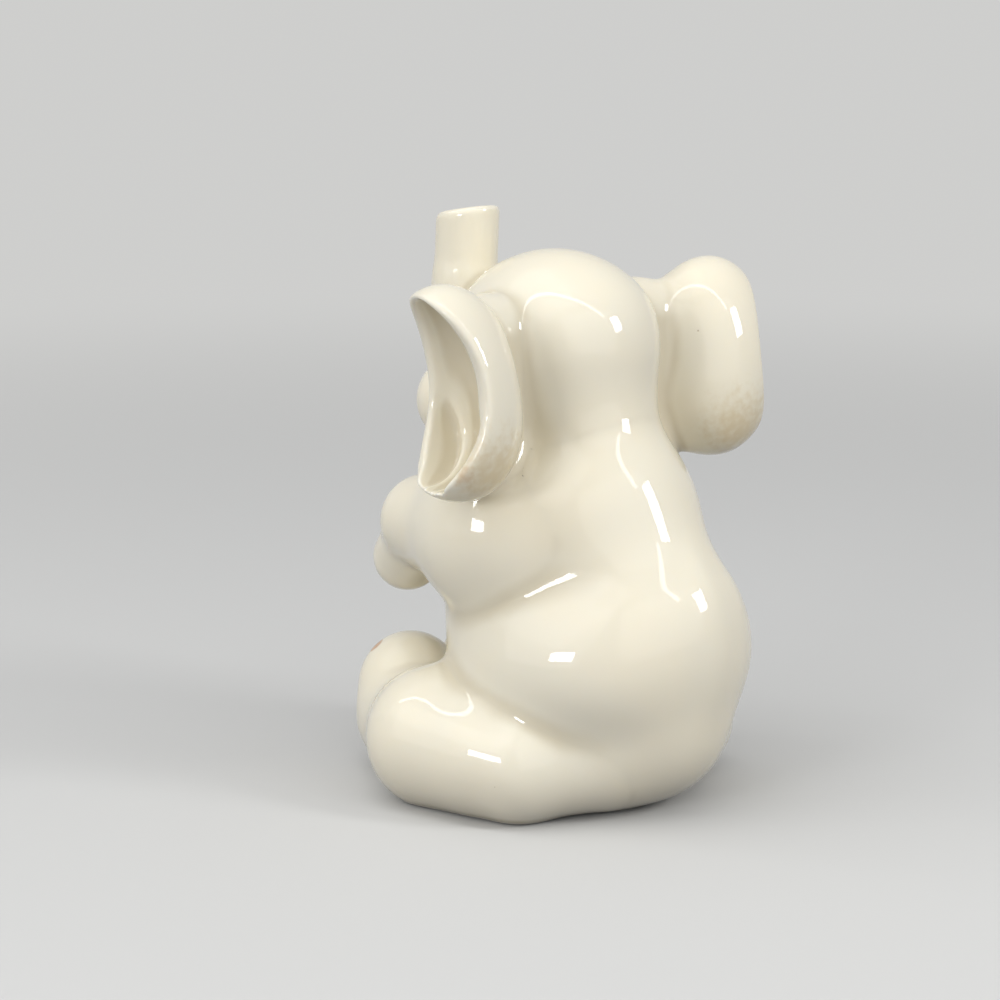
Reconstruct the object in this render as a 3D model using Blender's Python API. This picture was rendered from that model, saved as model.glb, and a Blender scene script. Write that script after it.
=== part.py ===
"""Seated elephant calf, a figurine of glazed porcelain: slip-cast pieces luted together.

The calf sits on the plane z = 0 and faces -Y, with its left side at +X. Lengths are in metres.
The rounded forms of the animal blend into one body of clay. The body is then parted where the
castings were stuck together before the firing: each point of it goes to the casting whose own
forms are nearest. Paired forms are given for the left side and mirrored to the right.
"""

import functools
import math

import bmesh
import bpy
from mathutils import Vector

COLLECTION_NAME = "elephant_figurine"

# Fineness of the solids
CLAY_GRAIN = 0.0008
SEAM_GRAIN = 0.0010
FIGURE_TRIANGLES = 9000
SEAM_TRIANGLES = 1500
SEAM_GAP = 0.00026

# Torso: a broad rump that narrows to the shoulders, with the spine filling the back
RUMP_WIDTH = 0.0444
RUMP_DEPTH = 0.0444
RUMP_HEIGHT = 0.0400
RUMP_LEVEL = 0.0215
RUMP_BACK = 0.0006
SEAT_WIDTH = 0.0380
SEAT_DEPTH = 0.0380
SEAT_HEIGHT = 0.0210
SEAT_LEVEL = 0.0090
SEAT_BACK = 0.0010
BELLY_WIDTH = 0.0330
BELLY_DEPTH = 0.0320
BELLY_HEIGHT = 0.0270
BELLY_LEVEL = 0.0265
BELLY_FORWARD = 0.0095
SHOULDERS_WIDTH = 0.0330
SHOULDERS_DEPTH = 0.0310
SHOULDERS_HEIGHT = 0.0250
SHOULDERS_LEVEL = 0.0460
SHOULDERS_FORWARD = 0.0018
SPINE_RADIUS = 0.0122
SPINE_LEVEL = 0.0280
SPINE_PROUD = 0.0020
WITHERS_RADIUS = 0.0078
WITHERS_LEVEL = 0.0515
WITHERS_BACK = 0.0034
CREST_RADIUS = 0.0035
CREST_TOP_BACK = 0.0072
CREST_TOP_LEVEL = 0.0524
CREST_BEND_BACK = 0.0177
CREST_BEND_LEVEL = 0.0384
CREST_FOOT_BACK = 0.0222
CREST_FOOT_LEVEL = 0.0232
CREST_BLEND = 0.004
TORSO_BLEND = 0.010
SEAT_BLEND = 0.006
NECK_BLEND = 0.008

# Hollow of the torso, with its vent in the unglazed foot
WALL = 0.0040
VENT_RADIUS = 0.0018
VENT_BACK = 0.0068

# Head
HEAD_WIDTH = 0.0276
HEAD_LENGTH = 0.0306
HEAD_HEIGHT = 0.0308
HEAD_FORWARD = 0.0092
HEAD_RISE = 0.0220
NECK_RADIUS = 0.0124
NECK_FORWARD = 0.0052
NECK_RISE = 0.0085
BROW_WIDTH = 0.0270
BROW_LENGTH = 0.0280
BROW_HEIGHT = 0.0200
BROW_FORWARD = 0.0012
BROW_RISE = 0.0046
CHEEK_RADIUS = 0.0070
CHEEK_SPREAD = 0.0080
CHEEK_FORWARD = 0.0123
CHEEK_DROP = 0.0075
FACE_BLEND = 0.006
CHIN_WIDTH = 0.0104
CHIN_LENGTH = 0.0180
CHIN_HEIGHT = 0.0084
CHIN_FORWARD = 0.0100
CHIN_DROP = 0.0136
CHIN_BLEND = 0.002
EYE_RADIUS = 0.0019
EYE_SPREAD = 0.0104
EYE_FORWARD = 0.0098
EYE_RISE = 0.0030
EYE_BLEND = 0.001

# Trunk, raised in front of the brow
TRUNK_ROOT_RADIUS = 0.0085
TRUNK_ROOT_DROP = 0.0070
TRUNK_BEND_RADIUS = 0.0064
TRUNK_BEND_PROUD = 0.0047
TRUNK_RADIUS = 0.0050
TRUNK_BEND_HEIGHT = 0.0100
TRUNK_HEIGHT = 0.0213
TRUNK_LEAN = 0.0007
TRUNK_SLANT = math.radians(10)
TRUNK_BLEND = 0.004
TRUNK_LIP = 0.002
NOSTRIL_RADIUS = 0.0019
NOSTRIL_DEPTH = 0.0060

# Ears: cupped shells that open outwards
EAR_LENGTH = 0.0320
EAR_WIDTH = 0.0182
EAR_DEPTH = 0.0196
EAR_STANDOFF = 0.0145
EAR_BACK = 0.0077
EAR_DROP = 0.0022
EAR_PITCH = 0.28
EAR_YAW = 0.12
EAR_WALL = 0.0030
EAR_LOBE_DROP = 0.0065
EAR_LOBE_BACK = 0.0000
EAR_LOBE_WIDTH = 0.0156
EAR_LOBE_HEIGHT = 0.0176
EAR_HOLLOW_SHIFT = 0.0050
EAR_HOLLOW_FORWARD = 0.0014
EAR_MOUTH_RADIUS = 0.018
EAR_MOUTH_FRONT = 0.0064
EAR_MOUTH_BACK = 0.0304
EAR_MOUTH_REACH = 0.0400
EAR_ROOT_RADIUS = 0.0052
EAR_ROOT_INSET = 0.0116
EAR_ROOT_FORWARD = 0.0054
EAR_ROOT_RISE = 0.0070
EAR_ROOT_DROP = 0.0105
EAR_BLEND = 0.005
EAR_RIM = 0.003

# Forelegs, held out in front of the chest
SHOULDER_WIDTH = 0.0196
SHOULDER_LENGTH = 0.0240
SHOULDER_HEIGHT = 0.0210
SHOULDER_SPREAD = 0.0130
SHOULDER_DROP = 0.0045
SHOULDER_FORWARD = 0.0072
SHOULDER_BLEND = 0.009
BLADE_SPREAD = 0.0103
BLADE_BACK = 0.0062
BLADE_RISE = 0.0010
BLADE_RADIUS = 0.0095
FORELEG_RADIUS = 0.0106
WRIST_RADIUS = 0.0074
WRIST_SPREAD = 0.0110
FORELEG_REACH = 0.0172
FORELEG_DROP = 0.0005
FORELEG_BLEND = 0.005
PAW_RADIUS = 0.0060
FOREFOOT_RADIUS = 0.0055
FOREFOOT_SPREAD = 0.0085
FOREFOOT_REACH = 0.0073
FOREFOOT_DROP = 0.0072
FOREFOOT_BLEND = 0.002

# Hind legs, splayed on the ground with the soles turned up
HIP_RADIUS = 0.0082
HIP_LEVEL = 0.0090
HIP_SPREAD = 0.0090
HIP_BACK = 0.0084
THIGH_RADIUS = 0.0093
THIGH_INSET = 0.0046
THIGH_FORWARD = 0.0000
KNEE_RADIUS = 0.0102
KNEE_INSET = 0.0022
KNEE_FORWARD = 0.0156
KNEE_LIFT = -0.0004
HEEL_RADIUS = 0.0080
HEEL_SPREAD = 0.0110
HEEL_REACH = 0.0149
HEEL_LIFT = 0.0005
TOES_RADIUS = 0.0082
TOES_SPREAD = 0.0090
TOES_REACH = 0.0174
TOES_LEVEL = 0.0138
SINK = 0.0008
LEG_BEND_BLEND = 0.006
HIND_LEG_BLEND = 0.003

# Room round the figure in which the clay is worked out
MARGIN = 0.003
HALF_WIDTH = 0.038
FRONT = 0.044
REAR = 0.025

# Glaze
GLAZE_COLOUR = (0.84, 0.80, 0.68, 1.0)
GLAZE_ROUGHNESS = 0.12
GLAZE_INDEX = 1.5

# Places worked out from the sizes
RUMP = Vector((0.0, RUMP_BACK, RUMP_LEVEL))
SEAT = Vector((0.0, SEAT_BACK, SEAT_LEVEL))
BELLY = Vector((0.0, -BELLY_FORWARD, BELLY_LEVEL))
SHOULDERS = Vector((0.0, -SHOULDERS_FORWARD, SHOULDERS_LEVEL))
SPINE = Vector((0.0, RUMP.y + RUMP_DEPTH / 2 + SPINE_PROUD - SPINE_RADIUS, SPINE_LEVEL))
WITHERS = Vector((0.0, WITHERS_BACK, WITHERS_LEVEL))
CREST_TOP = Vector((0.0, CREST_TOP_BACK, CREST_TOP_LEVEL))
CREST_BEND = Vector((0.0, CREST_BEND_BACK, CREST_BEND_LEVEL))
CREST_FOOT = Vector((0.0, CREST_FOOT_BACK, CREST_FOOT_LEVEL))
NECK = Vector((0.0, -NECK_FORWARD, SHOULDERS_LEVEL + NECK_RISE))
HEAD = Vector((0.0, -HEAD_FORWARD, SHOULDERS_LEVEL + HEAD_RISE))
NAPE = Vector((0.0, -NECK_FORWARD, HEAD.z))
BROW = HEAD + Vector((0.0, -BROW_FORWARD, BROW_RISE))
CHEEK = HEAD + Vector((CHEEK_SPREAD, -CHEEK_FORWARD, -CHEEK_DROP))
CHIN = HEAD + Vector((0.0, -CHIN_FORWARD, -CHIN_DROP))
EYE = HEAD + Vector((EYE_SPREAD, -EYE_FORWARD, EYE_RISE))
TRUNK_ROOT = HEAD + Vector((0.0, -HEAD_LENGTH / 2, -TRUNK_ROOT_DROP))
TRUNK_BEND = HEAD + Vector((0.0, -HEAD_LENGTH / 2 - TRUNK_BEND_PROUD, 0.0))
TRUNK_RISE = TRUNK_BEND + Vector((0.0, 0.0, TRUNK_BEND_HEIGHT))
TRUNK_TIP = TRUNK_BEND + Vector((0.0, TRUNK_LEAN, TRUNK_HEIGHT))
TRUNK_TIP_NORMAL = Vector((0.0, -math.sin(TRUNK_SLANT), math.cos(TRUNK_SLANT)))
EAR = HEAD + Vector((HEAD_WIDTH / 2 + EAR_STANDOFF, EAR_BACK, -EAR_DROP))
EAR_TURN = (EAR_PITCH, 0.0, EAR_YAW)
EAR_HOLLOW = EAR + Vector((EAR_HOLLOW_SHIFT, -EAR_HOLLOW_FORWARD, 0.0))
EAR_MOUTH_NEAR = EAR + Vector((EAR_MOUTH_FRONT, -EAR_MOUTH_REACH, 0.0))
EAR_MOUTH_FAR = EAR + Vector((EAR_MOUTH_BACK, EAR_MOUTH_REACH, 0.0))
EAR_LOBE = EAR + Vector((0.0, EAR_LOBE_BACK, -EAR_LOBE_DROP))
EAR_ROOT_TOP = EAR + Vector((-EAR_ROOT_INSET, -EAR_ROOT_FORWARD, EAR_ROOT_RISE))
EAR_ROOT_FOOT = EAR + Vector((-EAR_ROOT_INSET, -EAR_ROOT_FORWARD, -EAR_ROOT_DROP))
SHOULDER = SHOULDERS + Vector((SHOULDER_SPREAD, -SHOULDER_FORWARD, -SHOULDER_DROP))
BLADE = Vector((BLADE_SPREAD, SHOULDER.y + BLADE_BACK, SHOULDER.z + BLADE_RISE))
WRIST = Vector((WRIST_SPREAD, SHOULDER.y - FORELEG_REACH, SHOULDER.z - FORELEG_DROP))
FOREFOOT = Vector((FOREFOOT_SPREAD, WRIST.y - FOREFOOT_REACH, WRIST.z - FOREFOOT_DROP))
HIP = Vector((HIP_SPREAD, RUMP.y + HIP_BACK, HIP_LEVEL))
THIGH = Vector((RUMP_WIDTH / 2 - THIGH_INSET, RUMP.y - THIGH_FORWARD, THIGH_RADIUS - SINK))
KNEE = Vector((RUMP_WIDTH / 2 - KNEE_INSET, RUMP.y - KNEE_FORWARD, KNEE_RADIUS + KNEE_LIFT))
HEEL = Vector((HEEL_SPREAD, KNEE.y - HEEL_REACH, HEEL_RADIUS + HEEL_LIFT))
TOES = Vector((TOES_SPREAD, KNEE.y - TOES_REACH, TOES_LEVEL))
LOW = Vector((-HALF_WIDTH, -FRONT, 0.0)) - Vector((MARGIN,) * 3)
HIGH = Vector((HALF_WIDTH, REAR, TRUNK_TIP.z)) + Vector((MARGIN,) * 3)


def clear_scene():
    """Removes whatever the file holds, so that the model starts empty."""
    for old in list(bpy.data.objects):
        bpy.data.objects.remove(old, do_unlink=True)


def halves(*lengths):
    return tuple(length / 2 for length in lengths)


class Clay:
    """Distances to the surface of the figure, built up form by form as nodes of one tree."""

    def __init__(self, tree):
        self.tree = tree
        self.here = self.node("GeometryNodeInputPosition").outputs[0]
        self.x, self.y, self.z = self.node("ShaderNodeSeparateXYZ", (self.here,)).outputs
        side = self.number("ABSOLUTE", self.x)
        self.mirrored = self.node("ShaderNodeCombineXYZ", (side, self.y, self.z)).outputs[0]

    def node(self, kind, inputs=(), **settings):
        made = self.tree.nodes.new(kind)
        for name, value in settings.items():
            setattr(made, name, value)
        for socket, value in zip(made.inputs, inputs):
            if isinstance(value, bpy.types.NodeSocket):
                self.tree.links.new(value, socket)
            else:
                socket.default_value = value
        return made

    def number(self, operation, *values):
        return self.node("ShaderNodeMath", values, operation=operation).outputs[0]

    def vector(self, operation, *values):
        made = self.node("ShaderNodeVectorMath", values, operation=operation)
        return made.outputs["Value" if operation in ("LENGTH", "DOT_PRODUCT") else "Vector"]

    def scaled(self, direction, factor):
        """A fixed direction times a number that varies from place to place."""
        made = self.node("ShaderNodeVectorMath", (tuple(direction),), operation="SCALE")
        self.tree.links.new(factor, made.inputs["Scale"])
        return made.outputs["Vector"]

    def ellipsoid(self, centre, radii, turn=None, paired=False):
        place = self.mirrored if paired else self.here
        local = self.vector("SUBTRACT", place, tuple(centre))
        if turn:
            rotate = self.node("ShaderNodeVectorRotate", rotation_type="EULER_XYZ", invert=True)
            self.tree.links.new(local, rotate.inputs["Vector"])
            rotate.inputs["Rotation"].default_value = turn
            local = rotate.outputs[0]
        unit = self.vector("DIVIDE", local, radii)
        reach = self.vector("LENGTH", unit)
        slope = self.vector("LENGTH", self.vector("DIVIDE", unit, radii))
        over = self.number("MULTIPLY", reach, self.number("SUBTRACT", reach, 1.0))
        return self.number("DIVIDE", over, self.number("MAXIMUM", slope, 1e-6))

    def limb(self, start, end, start_radius, end_radius, paired=False):
        """A round bar that tapers between two balls."""
        length = (end - start).length
        axis = (end - start) / length
        taper = (start_radius - end_radius) / length
        lean = taper / math.sqrt(1 - taper * taper)
        place = self.mirrored if paired else self.here
        local = self.vector("SUBTRACT", place, tuple(start))
        along = self.vector("DOT_PRODUCT", local, tuple(axis))
        off_axis = self.vector("LENGTH", self.vector("SUBTRACT", local, self.scaled(axis, along)))
        along = self.number("SUBTRACT", along, self.number("MULTIPLY", off_axis, lean))
        along = self.node("ShaderNodeClamp", (along, 0.0, length)).outputs[0]
        away = self.vector("LENGTH", self.vector("SUBTRACT", local, self.scaled(axis, along)))
        thick = self.number("MULTIPLY_ADD", along, -taper, start_radius)
        return self.number("SUBTRACT", away, thick)

    def plane(self, point, normal):
        local = self.vector("SUBTRACT", self.here, tuple(point))
        return self.vector("DOT_PRODUCT", local, tuple(normal))

    def join(self, first, second, blend):
        return self.number("SMOOTH_MIN", first, second, blend)

    def keep(self, form, side, blend):
        return self.number("SMOOTH_MAX", form, side, blend)

    def carve(self, form, hollow, blend):
        return self.keep(form, self.number("MULTIPLY", hollow, -1.0), blend)


def torso_form(clay):
    rump = clay.ellipsoid(RUMP, halves(RUMP_WIDTH, RUMP_DEPTH, RUMP_HEIGHT))
    seat = clay.ellipsoid(SEAT, halves(SEAT_WIDTH, SEAT_DEPTH, SEAT_HEIGHT))
    belly = clay.ellipsoid(BELLY, halves(BELLY_WIDTH, BELLY_DEPTH, BELLY_HEIGHT))
    spine = clay.limb(SPINE, WITHERS, SPINE_RADIUS, WITHERS_RADIUS)
    radii = halves(SHOULDERS_WIDTH, SHOULDERS_DEPTH, SHOULDERS_HEIGHT)
    shoulders = clay.ellipsoid(SHOULDERS, radii)
    torso = clay.join(clay.join(rump, seat, SEAT_BLEND), belly, SEAT_BLEND)
    torso = clay.join(torso, spine, TORSO_BLEND)
    torso = clay.join(torso, shoulders, TORSO_BLEND)
    upper = clay.limb(CREST_TOP, CREST_BEND, CREST_RADIUS, CREST_RADIUS)
    lower = clay.limb(CREST_BEND, CREST_FOOT, CREST_RADIUS, CREST_RADIUS)
    return clay.join(torso, clay.join(upper, lower, CREST_BLEND), CREST_BLEND)


def head_form(clay):
    skull = clay.ellipsoid(HEAD, halves(HEAD_WIDTH, HEAD_LENGTH, HEAD_HEIGHT))
    brow = clay.ellipsoid(BROW, halves(BROW_WIDTH, BROW_LENGTH, BROW_HEIGHT))
    cheek = clay.ellipsoid(CHEEK, (CHEEK_RADIUS,) * 3, paired=True)
    neck = clay.limb(NECK, NAPE, NECK_RADIUS, NECK_RADIUS)
    skull = clay.join(clay.join(skull, brow, FACE_BLEND), neck, FACE_BLEND)
    chin = clay.ellipsoid(CHIN, halves(CHIN_WIDTH, CHIN_LENGTH, CHIN_HEIGHT))
    eye = clay.ellipsoid(EYE, (EYE_RADIUS,) * 3, paired=True)
    skull = clay.join(clay.join(skull, cheek, FACE_BLEND), chin, CHIN_BLEND)
    return clay.join(skull, eye, EYE_BLEND)


def trunk_form(clay):
    root = clay.limb(TRUNK_ROOT, TRUNK_BEND, TRUNK_ROOT_RADIUS, TRUNK_BEND_RADIUS)
    bend = clay.limb(TRUNK_BEND, TRUNK_RISE, TRUNK_BEND_RADIUS, TRUNK_RADIUS)
    along = (TRUNK_TIP - TRUNK_RISE).normalized()
    beyond = TRUNK_TIP + along * TRUNK_RADIUS
    rise = clay.limb(TRUNK_RISE, beyond, TRUNK_RADIUS, TRUNK_RADIUS)
    trunk = clay.join(clay.join(root, bend, TRUNK_LIP), rise, TRUNK_LIP)
    trunk = clay.keep(trunk, clay.plane(TRUNK_TIP, TRUNK_TIP_NORMAL), TRUNK_LIP)
    bottom = TRUNK_TIP - along * NOSTRIL_DEPTH
    nostril = clay.limb(bottom, beyond, NOSTRIL_RADIUS, NOSTRIL_RADIUS)
    return clay.carve(trunk, nostril, TRUNK_LIP)


def ear_form(clay):
    shell = clay.ellipsoid(EAR, halves(EAR_DEPTH, EAR_WIDTH, EAR_LENGTH), EAR_TURN, True)
    lobe = clay.ellipsoid(EAR_LOBE, halves(EAR_DEPTH, EAR_LOBE_WIDTH, EAR_LOBE_HEIGHT), None, True)
    shell = clay.join(shell, lobe, EAR_BLEND)
    mouth = clay.limb(EAR_MOUTH_NEAR, EAR_MOUTH_FAR, EAR_MOUTH_RADIUS, EAR_MOUTH_RADIUS, True)
    shell = clay.carve(shell, mouth, EAR_RIM)
    root = clay.limb(EAR_ROOT_TOP, EAR_ROOT_FOOT, EAR_ROOT_RADIUS, EAR_ROOT_RADIUS, True)
    inner = (EAR_DEPTH / 2, EAR_WIDTH / 2 - EAR_WALL, EAR_LENGTH / 2 - EAR_WALL)
    hollow = clay.ellipsoid(EAR_HOLLOW, inner, EAR_TURN, True)
    return clay.carve(clay.join(shell, root, EAR_BLEND), hollow, EAR_RIM)


def foreleg_form(clay):
    radii = halves(SHOULDER_WIDTH, SHOULDER_LENGTH, SHOULDER_HEIGHT)
    shoulder = clay.ellipsoid(SHOULDER, radii, paired=True)
    blade = clay.limb(BLADE, SHOULDER, BLADE_RADIUS, BLADE_RADIUS, True)
    shoulder = clay.join(shoulder, blade, FORELEG_BLEND)
    foreleg = clay.limb(SHOULDER, WRIST, FORELEG_RADIUS, WRIST_RADIUS, True)
    forefoot = clay.limb(WRIST, FOREFOOT, PAW_RADIUS, FOREFOOT_RADIUS, True)
    return clay.join(clay.join(shoulder, foreleg, FORELEG_BLEND), forefoot, FOREFOOT_BLEND)


def hind_leg_form(clay):
    haunch = clay.limb(HIP, THIGH, HIP_RADIUS, THIGH_RADIUS, True)
    thigh = clay.limb(THIGH, KNEE, THIGH_RADIUS, KNEE_RADIUS, True)
    shin = clay.limb(KNEE, HEEL, KNEE_RADIUS, HEEL_RADIUS, True)
    foot = clay.limb(HEEL, TOES, HEEL_RADIUS, TOES_RADIUS, True)
    leg = clay.join(clay.join(haunch, thigh, LEG_BEND_BLEND), shin, LEG_BEND_BLEND)
    return clay.join(leg, foot, LEG_BEND_BLEND)


FORMS = {
    "torso": torso_form,
    "head": head_form,
    "trunk": trunk_form,
    "ear": ear_form,
    "foreleg": foreleg_form,
    "hind_leg": hind_leg_form,
}
PAIRED = ("ear", "foreleg", "hind_leg")
BLENDS = {
    "head": NECK_BLEND,
    "ear": EAR_BLEND,
    "foreleg": SHOULDER_BLEND,
    "hind_leg": HIND_LEG_BLEND,
}


def figure_field(clay):
    """The whole calf, down to just under the ground on which it is then cut flat."""
    forms = {name: form(clay) for name, form in FORMS.items()}
    forms["head"] = clay.join(forms["head"], forms["trunk"], TRUNK_BLEND)
    figure = forms["torso"]
    for name, blend in BLENDS.items():
        figure = clay.join(figure, forms[name], blend)
    return figure


def casting_field(clay, name):
    """Negative where this casting's own forms are nearer than those of any other."""
    forms = {other: form(clay) for other, form in FORMS.items()}
    own = forms.pop(name)
    others = functools.reduce(lambda first, second: clay.number("MINIMUM", first, second), forms.values())
    lead = clay.number("SUBTRACT", own, others)
    field = clay.number("MULTIPLY_ADD", lead, 0.5, SEAM_GAP / 2)
    if name in PAIRED:
        field = clay.number("MAXIMUM", field, clay.number("SUBTRACT", SEAM_GAP / 2, clay.x))
    return field


def cavity_field(clay):
    """The inside of the torso, a wall's thickness away from its skin and its seams."""
    inside = clay.number("MAXIMUM", figure_field(clay), casting_field(clay, "torso"))
    floor = clay.number("MULTIPLY", clay.z, -1.0)
    return clay.keep(clay.number("ADD", inside, WALL), clay.number("ADD", floor, WALL), WALL)


def mesh_of(name, field, grain):
    """The surface on which a field is nought, as a mesh."""
    tree = bpy.data.node_groups.new(name, "GeometryNodeTree")
    tree.interface.new_socket("Geometry", in_out="OUTPUT", socket_type="NodeSocketGeometry")
    clay = Clay(tree)
    depth = 6 * grain
    steps = [math.ceil(length / grain) for length in HIGH - LOW]
    density = clay.number("SUBTRACT", depth, field(clay))
    cube = clay.node("GeometryNodeVolumeCube", (density, 0.0, LOW, HIGH, *steps))
    skin = clay.node("GeometryNodeVolumeToMesh")
    tree.links.new(cube.outputs[0], skin.inputs["Volume"])
    skin.inputs["Threshold"].default_value = depth
    out = clay.node("NodeGroupOutput")
    tree.links.new(skin.outputs[0], out.inputs[0])
    maker = bpy.data.objects.new(name, bpy.data.meshes.new(name))
    bpy.context.scene.collection.objects.link(maker)
    maker.modifiers.new("clay", "NODES").node_group = tree
    settle(maker)
    return maker


def settle(thing):
    """Applies the modifiers of an object."""
    graph = bpy.context.evaluated_depsgraph_get()
    mesh = bpy.data.meshes.new_from_object(thing.evaluated_get(graph))
    thing.modifiers.clear()
    thing.data = mesh


def thin_out(thing, triangles):
    """Leaves about this many triangles, fewest where the surface is flattest."""
    faces = sum(len(polygon.vertices) - 2 for polygon in thing.data.polygons)
    modifier = thing.modifiers.new("thin_out", "DECIMATE")
    modifier.ratio = min(1.0, triangles / faces)
    modifier.use_collapse_triangulate = True
    settle(thing)


def combine(thing, tool, operation):
    modifier = thing.modifiers.new("combine", "BOOLEAN")
    modifier.solver = "EXACT"
    modifier.operation = operation
    modifier.object = tool
    settle(thing)


def discard(thing):
    bpy.data.objects.remove(thing, do_unlink=True)


def copy_of(thing, name):
    made = bpy.data.objects.new(name, thing.data.copy())
    bpy.context.scene.collection.objects.link(made)
    return made


def reflect(thing):
    """Turns a left casting into a right one."""
    for vertex in thing.data.vertices:
        vertex.co.x = -vertex.co.x
    thing.data.flip_normals()


def keep_largest_body(thing):
    bm = bmesh.new()
    bm.from_mesh(thing.data)
    unseen = set(bm.verts)
    bodies = []
    while unseen:
        front = [unseen.pop()]
        body = list(front)
        while front:
            vertex = front.pop()
            for edge in vertex.link_edges:
                other = edge.other_vert(vertex)
                if other in unseen:
                    unseen.remove(other)
                    front.append(other)
                    body.append(other)
        bodies.append(body)
    bodies.sort(key=len)
    for body in bodies[:-1]:
        bmesh.ops.delete(bm, geom=body, context="VERTS")
    bm.to_mesh(thing.data)
    bm.free()
    return len(bodies)


def drum(name, radius, low, high):
    """An upright cylinder behind the middle of the foot."""
    bm = bmesh.new()
    bmesh.ops.create_cone(
        bm, cap_ends=True, segments=48, radius1=radius, radius2=radius, depth=high - low
    )
    bmesh.ops.translate(bm, verts=bm.verts, vec=(0.0, VENT_BACK, (low + high) / 2))
    mesh = bpy.data.meshes.new(name)
    bm.to_mesh(mesh)
    bm.free()
    made = bpy.data.objects.new(name, mesh)
    bpy.context.scene.collection.objects.link(made)
    return made


def ground_block():
    """Everything under the ground."""
    bm = bmesh.new()
    bmesh.ops.create_cube(bm, size=4 * HALF_WIDTH)
    bmesh.ops.translate(bm, verts=bm.verts, vec=(0.0, 0.0, -2 * HALF_WIDTH))
    mesh = bpy.data.meshes.new("ground")
    bm.to_mesh(mesh)
    bm.free()
    made = bpy.data.objects.new("ground", mesh)
    bpy.context.scene.collection.objects.link(made)
    return made


def hollow_out(torso):
    cavity = mesh_of("cavity", cavity_field, SEAM_GRAIN)
    thin_out(cavity, SEAM_TRIANGLES)
    keep_largest_body(cavity)
    combine(torso, cavity, "DIFFERENCE")
    vent = drum("vent", VENT_RADIUS, -WALL, WALL * 3)
    combine(torso, vent, "DIFFERENCE")
    for tool in (cavity, vent):
        discard(tool)


def glaze():
    material = bpy.data.materials.new("ivory_glaze")
    material.use_nodes = True
    shader = material.node_tree.nodes["Principled BSDF"]
    shader.inputs["Base Color"].default_value = GLAZE_COLOUR
    shader.inputs["Roughness"].default_value = GLAZE_ROUGHNESS
    shader.inputs["IOR"].default_value = GLAZE_INDEX
    return material


def build():
    clear_scene()
    figure = mesh_of("figure", figure_field, CLAY_GRAIN)
    thin_out(figure, FIGURE_TRIANGLES)
    ground = ground_block()
    combine(figure, ground, "DIFFERENCE")
    discard(ground)
    castings = {}
    for name in FORMS:
        share = mesh_of(name, lambda clay: casting_field(clay, name), SEAM_GRAIN)
        thin_out(share, SEAM_TRIANGLES)
        casting = copy_of(figure, name)
        combine(casting, share, "INTERSECT")
        keep_largest_body(casting)
        discard(share)
        castings[name] = casting
    discard(figure)
    hollow_out(castings["torso"])
    for name in PAIRED:
        left = castings.pop(name)
        right = copy_of(left, "right_" + name)
        reflect(right)
        castings["left_" + name] = left
        castings["right_" + name] = right
    collection = bpy.data.collections.new(COLLECTION_NAME)
    bpy.context.scene.collection.children.link(collection)
    for name, casting in castings.items():
        bpy.context.scene.collection.objects.unlink(casting)
        collection.objects.link(casting)
        casting.name = name
        casting.data.name = name
        casting.data.materials.clear()
        material = glaze()
        material.name = name + "_glaze"
        casting.data.materials.append(material)


build()
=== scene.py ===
"""Looks of a seated elephant calf in ivory-glazed porcelain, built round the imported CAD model.

Lengths are in metres, in the model's own frame: +Z up, -Y the way the calf faces, +X its left.
"""

import functools
import math

import bmesh
import bpy
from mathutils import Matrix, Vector


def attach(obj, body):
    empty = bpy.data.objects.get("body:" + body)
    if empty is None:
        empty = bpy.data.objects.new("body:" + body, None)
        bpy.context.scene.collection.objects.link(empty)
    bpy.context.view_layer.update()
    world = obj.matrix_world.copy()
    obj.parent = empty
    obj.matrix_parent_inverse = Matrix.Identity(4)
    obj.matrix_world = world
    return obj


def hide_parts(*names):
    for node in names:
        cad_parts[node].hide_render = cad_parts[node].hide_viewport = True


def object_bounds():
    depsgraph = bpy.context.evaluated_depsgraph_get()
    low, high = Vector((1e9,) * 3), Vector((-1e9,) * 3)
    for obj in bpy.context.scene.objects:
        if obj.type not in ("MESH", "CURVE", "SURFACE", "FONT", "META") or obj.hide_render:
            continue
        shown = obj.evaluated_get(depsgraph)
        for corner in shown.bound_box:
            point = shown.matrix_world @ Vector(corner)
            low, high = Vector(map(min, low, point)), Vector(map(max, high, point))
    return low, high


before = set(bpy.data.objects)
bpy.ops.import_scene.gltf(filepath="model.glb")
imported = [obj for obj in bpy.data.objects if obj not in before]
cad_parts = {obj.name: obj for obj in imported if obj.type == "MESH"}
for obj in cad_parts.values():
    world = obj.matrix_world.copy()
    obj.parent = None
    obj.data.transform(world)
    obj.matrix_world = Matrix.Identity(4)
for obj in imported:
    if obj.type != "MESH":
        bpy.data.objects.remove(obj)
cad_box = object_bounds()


# The sculptor's original
# Before any mould is made, the whole calf is modelled in one body of clay. Each rounded form is
# given as the distance to its surface, and forms melt into each other where they meet. Paired
# forms are given for the left side.

CLAY_GRAIN = 0.00034


def wire(tree, kind, inputs=(), **settings):
    """Adds a node. An input is linked where it is given a socket, and set where it is a value."""
    made = tree.nodes.new(kind)
    for name, value in settings.items():
        setattr(made, name, value)
    for key, value in inputs.items() if isinstance(inputs, dict) else enumerate(inputs):
        if isinstance(value, bpy.types.NodeSocket):
            tree.links.new(value, made.inputs[key])
        else:
            made.inputs[key].default_value = value
    return made


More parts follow.
